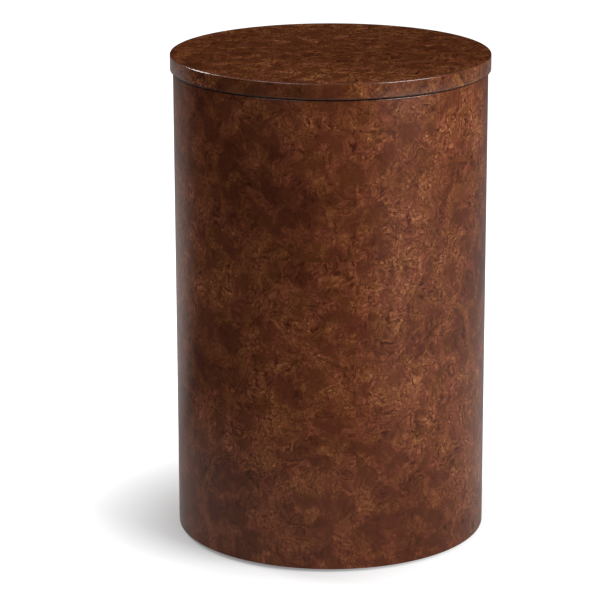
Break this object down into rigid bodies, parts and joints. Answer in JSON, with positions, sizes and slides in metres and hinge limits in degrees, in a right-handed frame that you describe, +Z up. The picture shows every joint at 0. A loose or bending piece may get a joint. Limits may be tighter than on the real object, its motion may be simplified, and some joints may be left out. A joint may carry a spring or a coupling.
{
  "type": "martini table",
  "caption": "Small round drum side table in brown burl veneer, with a flat overhanging top above a shadow gap and screw-in levelling glides hidden under the base.",
  "frame": {"origin": "on the floor, under the axis of the drum, with the glides screwed fully in", "axes": "+Z up along the drum's axis, front towards -Y, the joint of the half shells along X"},
  "size_m": [0.33, 0.33, 0.508],
  "materials": {
    "lid_burl": "brown burl veneer under satin lacquer",
    "drum_burl": "brown burl veneer under satin lacquer",
    "edge_burl": "brown burl veneer strip under satin lacquer",
    "backing_veneer": "plain brown backing veneer, sealed",
    "core_board": "bare fibreboard",
    "base_board": "fibreboard with a thin coat of black paint",
    "moulded_ply": "bare moulded plywood",
    "former_ply": "bare birch plywood",
    "batten_pine": "planed pine",
    "dowel_beech": "fluted beech, bare",
    "zinc_screw": "zinc plated steel",
    "zinc_insert": "zinc die-cast",
    "stem_steel": "zinc plated steel",
    "pad_nylon": "dark moulded nylon"
  },
  "bodies": {
    "table": {"lid_core": "core_board", "lid_edge_band": "edge_burl", "lid_backer": "backing_veneer", "lid_leaf_1": "lid_burl", "lid_leaf_2": "lid_burl", "lid_leaf_3": "lid_burl", "lid_leaf_4": "lid_burl", "drum_leaf_bottom_1": "drum_burl", "drum_leaf_bottom_2": "drum_burl", "drum_leaf_bottom_3": "drum_burl", "drum_leaf_bottom_4": "drum_burl", "drum_leaf_bottom_5": "drum_burl", "drum_leaf_bottom_6": "drum_burl", "drum_leaf_middle_1": "drum_burl", "drum_leaf_middle_2": "drum_burl", "drum_leaf_middle_3": "drum_burl", "drum_leaf_middle_4": "drum_burl", "drum_leaf_middle_5": "drum_burl", "drum_leaf_middle_6": "drum_burl", "drum_leaf_top_1": "drum_burl", "drum_leaf_top_2": "drum_burl", "drum_leaf_top_3": "drum_burl", "drum_leaf_top_4": "drum_burl", "drum_leaf_top_5": "drum_burl", "drum_leaf_top_6": "drum_burl", "front_half_shell": "moulded_ply", "rear_half_shell": "moulded_ply", "top_former": "former_ply", "middle_former": "former_ply", "right_batten": "batten_pine", "rear_batten": "batten_pine", "left_batten": "batten_pine", "front_batten": "batten_pine", "base_panel": "base_board", "lid_dowels": "dowel_beech", "lid_screws": "zinc_screw", "former_screws": "zinc_screw", "base_screws": "zinc_screw", "insert_nuts": "zinc_insert"},
    "pad_1": {"glide_pad_1": "pad_nylon"},
    "pad_2": {"glide_pad_2": "pad_nylon"},
    "pad_3": {"glide_pad_3": "pad_nylon"},
    "pad_4": {"glide_pad_4": "pad_nylon"},
    "stem_1": {"glide_stem_1": "stem_steel"},
    "stem_2": {"glide_stem_2": "stem_steel"},
    "stem_3": {"glide_stem_3": "stem_steel"},
    "stem_4": {"glide_stem_4": "stem_steel"}
  },
  "joints": [
    {"name": "pad_1_slide", "type": "slide", "parent": "table", "child": "pad_1", "axis": [0, 0, -1], "range_m": [0, 0.008]},
    {"name": "stem_1_turn", "type": "hinge", "parent": "pad_1", "child": "stem_1", "pos_m": [0.08984, 0.08984, 0.0078], "axis": [0, 0, -1], "range_deg": [0, 2304]},
    {"name": "pad_2_slide", "type": "slide", "parent": "table", "child": "pad_2", "axis": [0, 0, -1], "range_m": [0, 0.008]},
    {"name": "stem_2_turn", "type": "hinge", "parent": "pad_2", "child": "stem_2", "pos_m": [-0.08984, 0.08984, 0.0078], "axis": [0, 0, -1], "range_deg": [0, 2304]},
    {"name": "pad_3_slide", "type": "slide", "parent": "table", "child": "pad_3", "axis": [0, 0, -1], "range_m": [0, 0.008]},
    {"name": "stem_3_turn", "type": "hinge", "parent": "pad_3", "child": "stem_3", "pos_m": [-0.08984, -0.08984, 0.0078], "axis": [0, 0, -1], "range_deg": [0, 2304]},
    {"name": "pad_4_slide", "type": "slide", "parent": "table", "child": "pad_4", "axis": [0, 0, -1], "range_m": [0, 0.008]},
    {"name": "stem_4_turn", "type": "hinge", "parent": "pad_4", "child": "stem_4", "pos_m": [0.08984, -0.08984, 0.0078], "axis": [0, 0, -1], "range_deg": [0, 2304]}
  ],
  "couplings": [
    {"joint": "pad_1_slide", "follows": "stem_1_turn", "m_per_rad": 0.00019894},
    {"joint": "pad_2_slide", "follows": "stem_2_turn", "m_per_rad": 0.00019894},
    {"joint": "pad_3_slide", "follows": "stem_3_turn", "m_per_rad": 0.00019894},
    {"joint": "pad_4_slide", "follows": "stem_4_turn", "m_per_rad": 0.00019894}
  ]
}
